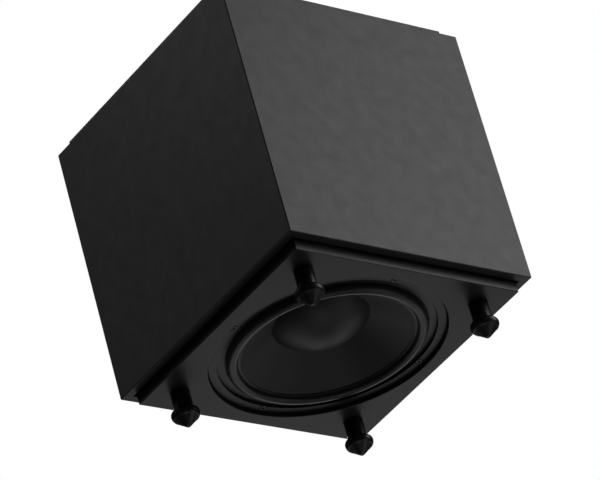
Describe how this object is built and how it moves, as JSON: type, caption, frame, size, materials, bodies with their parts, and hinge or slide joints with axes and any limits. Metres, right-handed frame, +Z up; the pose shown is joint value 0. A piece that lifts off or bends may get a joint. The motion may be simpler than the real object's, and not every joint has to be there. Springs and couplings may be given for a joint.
{
  "type": "subwoofer",
  "caption": "Powered cube subwoofer: closed box with a down-firing woofer in its bottom panel, turned feet and an amplifier plate at the rear.",
  "frame": {"origin": "centre of the footprint, on the floor under the foot tips", "axes": "+Z up, the front faces -Y and the amplifier is at +Y, +X is to the right seen from the front"},
  "size_m": [0.34, 0.3448, 0.412],
  "materials": {
    "cabinet_black": "satin black vinyl wrap over fibreboard",
    "panel_black": "satin black paint over fibreboard",
    "raw_board": "bare fibreboard",
    "wadding": "loose polyester fibre",
    "zinc_steel": "zinc plated",
    "black_steel": "black oxide",
    "foam_black": "closed cell foam",
    "cast_black": "cast, black powder coat",
    "surround_rubber": "satin butyl rubber",
    "cone_black": "moulded, satin",
    "cap_black": "moulded, satin",
    "spider_cloth": "resin treated woven cotton",
    "former_metal": "thin rolled sheet",
    "copper_wire": "enamelled copper",
    "ferrite": "ground ceramic",
    "rubber_black": "moulded, matt",
    "terminal_brown": "laminate with plated tabs",
    "braid": "braided tinsel",
    "foot_black": "turned, satin",
    "plate_black": "fine textured powder coat",
    "knob_black": "moulded, satin",
    "control_metal": "nickel plated",
    "moulding_black": "moulded, semi gloss",
    "lever_grey": "moulded",
    "socket_gold": "gold plated",
    "led_green": "tinted lens",
    "contact_metal": "tin plated",
    "fuse_glass": "clear tube with metal caps",
    "board_green": "solder mask",
    "can_black": "sleeved can",
    "transformer_wrap": "taped winding",
    "heat_sink_metal": "extruded",
    "wire_red": "insulated wire"
  },
  "bodies": {
    "cabinet": {"front_wall": "cabinet_black", "right_wall": "cabinet_black", "rear_wall": "cabinet_black", "left_wall": "cabinet_black", "bottom_board": "raw_board", "top_board": "raw_board", "baffle_panel": "panel_black", "top_panel": "panel_black", "damping_wadding": "wadding", "panel_screws": "zinc_steel", "driver_gasket": "foam_black", "driver_basket": "cast_black", "driver_screws": "black_steel", "surround": "surround_rubber", "spider": "spider_cloth", "front_plate": "zinc_steel", "magnet_ring": "ferrite", "pole_yoke": "zinc_steel", "magnet_boot": "rubber_black", "terminal_board": "terminal_brown", "tinsel_leads": "braid", "foot_inserts": "zinc_steel", "amp_plate": "plate_black", "amp_gasket": "foam_black", "amp_screws": "black_steel", "control_pots": "control_metal", "switch_bodies": "moulding_black", "rca_block": "moulding_black", "rca_shells": "socket_gold", "status_led": "led_green", "mains_inlet": "moulding_black", "inlet_pins": "contact_metal", "rocker_housing": "moulding_black", "circuit_board": "board_green", "board_pillars": "zinc_steel", "capacitors": "can_black", "transformer": "transformer_wrap", "transformer_bolt": "zinc_steel", "heat_sink": "heat_sink_metal", "power_transistors": "moulding_black", "speaker_wires": "wire_red"},
    "cone_assembly": {"cone": "cone_black", "dust_cap": "cap_black", "coil_former": "former_metal", "voice_coil": "copper_wire"},
    "volume_control": {"volume_knob": "knob_black"},
    "crossover_control": {"crossover_knob": "knob_black"},
    "phase_lever": {"phase_switch": "lever_grey"},
    "power_mode_lever": {"power_mode_switch": "lever_grey"},
    "rocker": {"mains_rocker": "knob_black"},
    "fuse_carrier": {"fuse_drawer": "moulding_black", "fuse": "fuse_glass"},
    "stud_body_front_left": {"stud_front_left": "zinc_steel"},
    "foot_body_front_left": {"foot_front_left": "foot_black"},
    "stud_body_rear_left": {"stud_rear_left": "zinc_steel"},
    "foot_body_rear_left": {"foot_rear_left": "foot_black"},
    "stud_body_front_right": {"stud_front_right": "zinc_steel"},
    "foot_body_front_right": {"foot_front_right": "foot_black"},
    "stud_body_rear_right": {"stud_rear_right": "zinc_steel"},
    "foot_body_rear_right": {"foot_rear_right": "foot_black"}
  },
  "joints": [
    {"name": "cone_travel", "type": "slide", "parent": "cabinet", "child": "cone_assembly", "axis": [0, 0, 1], "range_m": [-0.012, 0.012], "stiffness_N_per_m": 4300, "deforming": ["surround", "spider", "tinsel_leads"]},
    {"name": "volume_turn", "type": "hinge", "parent": "cabinet", "child": "volume_control", "pos_m": [0.022, 0.17, 0.305], "axis": [0, -1, 0], "range_deg": [-150, 150]},
    {"name": "crossover_turn", "type": "hinge", "parent": "cabinet", "child": "crossover_control", "pos_m": [0.066, 0.17, 0.305], "axis": [0, -1, 0], "range_deg": [-150, 150]},
    {"name": "phase_slide", "type": "slide", "parent": "cabinet", "child": "phase_lever", "axis": [1, 0, 0], "range_m": [0, 0.004]},
    {"name": "power_mode_slide", "type": "slide", "parent": "cabinet", "child": "power_mode_lever", "axis": [1, 0, 0], "range_m": [0, 0.004]},
    {"name": "rocker_tilt", "type": "hinge", "parent": "cabinet", "child": "rocker", "pos_m": [0, 0.16, 0.145], "axis": [-1, 0, 0], "range_deg": [0, 20]},
    {"name": "fuse_pull", "type": "slide", "parent": "cabinet", "child": "fuse_carrier", "axis": [0, 1, 0], "range_m": [0, 0.018]},
    {"name": "stud_out_front_left", "type": "slide", "parent": "cabinet", "child": "stud_body_front_left", "axis": [0, 0, -1], "range_m": [0, 0.006]},
    {"name": "foot_turn_front_left", "type": "hinge", "parent": "stud_body_front_left", "child": "foot_body_front_left", "pos_m": [-0.123, -0.123, 0.045], "axis": [0, 0, -1], "range_deg": [0, 1728]},
    {"name": "stud_out_rear_left", "type": "slide", "parent": "cabinet", "child": "stud_body_rear_left", "axis": [0, 0, -1], "range_m": [0, 0.006]},
    {"name": "foot_turn_rear_left", "type": "hinge", "parent": "stud_body_rear_left", "child": "foot_body_rear_left", "pos_m": [-0.123, 0.123, 0.045], "axis": [0, 0, -1], "range_deg": [0, 1728]},
    {"name": "stud_out_front_right", "type": "slide", "parent": "cabinet", "child": "stud_body_front_right", "axis": [0, 0, -1], "range_m": [0, 0.006]},
    {"name": "foot_turn_front_right", "type": "hinge", "parent": "stud_body_front_right", "child": "foot_body_front_right", "pos_m": [0.123, -0.123, 0.045], "axis": [0, 0, -1], "range_deg": [0, 1728]},
    {"name": "stud_out_rear_right", "type": "slide", "parent": "cabinet", "child": "stud_body_rear_right", "axis": [0, 0, -1], "range_m": [0, 0.006]},
    {"name": "foot_turn_rear_right", "type": "hinge", "parent": "stud_body_rear_right", "child": "foot_body_rear_right", "pos_m": [0.123, 0.123, 0.045], "axis": [0, 0, -1], "range_deg": [0, 1728]}
  ],
  "couplings": [
    {"joint": "foot_turn_front_left", "follows": "stud_out_front_left", "rad_per_m": 5026.5},
    {"joint": "foot_turn_rear_left", "follows": "stud_out_rear_left", "rad_per_m": 5026.5},
    {"joint": "foot_turn_front_right", "follows": "stud_out_front_right", "rad_per_m": 5026.5},
    {"joint": "foot_turn_rear_right", "follows": "stud_out_rear_right", "rad_per_m": 5026.5}
  ]
}
